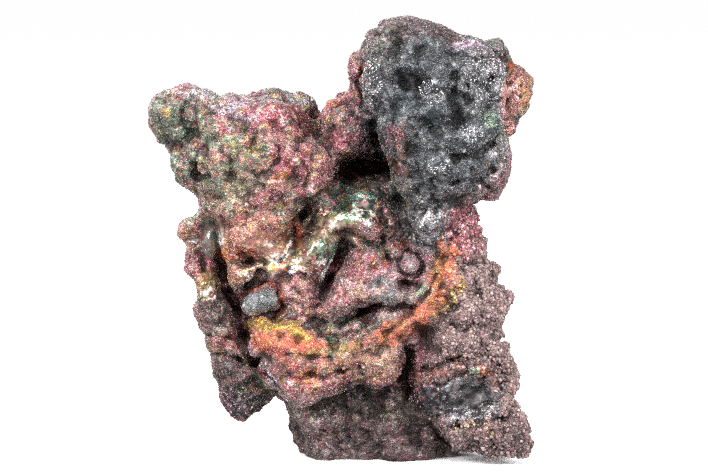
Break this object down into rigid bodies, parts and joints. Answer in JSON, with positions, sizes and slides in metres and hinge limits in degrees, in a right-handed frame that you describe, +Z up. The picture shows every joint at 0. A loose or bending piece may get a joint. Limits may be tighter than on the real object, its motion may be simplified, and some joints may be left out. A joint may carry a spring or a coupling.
{
  "type": "goethite stalactite",
  "caption": "Lumpy iridescent mineral specimen with a broad lobe, a dark overhanging knob, folds and slits, standing on a flat broken base.",
  "frame": {"origin": "on the flat break that the specimen stands on, under the left half of the waist", "axes": "+Z up, out of the break; the show face looks along -Y; +X towards the overhanging knob"},
  "size_m": [0.0382, 0.0233, 0.0449],
  "materials": {
    "goethite": "iridescent tarnish over a granular half-metallic mineral skin, glossy in the hollows"
  },
  "bodies": {
    "root": {"goethite_stalactite": "goethite"}
  },
  "joints": []
}
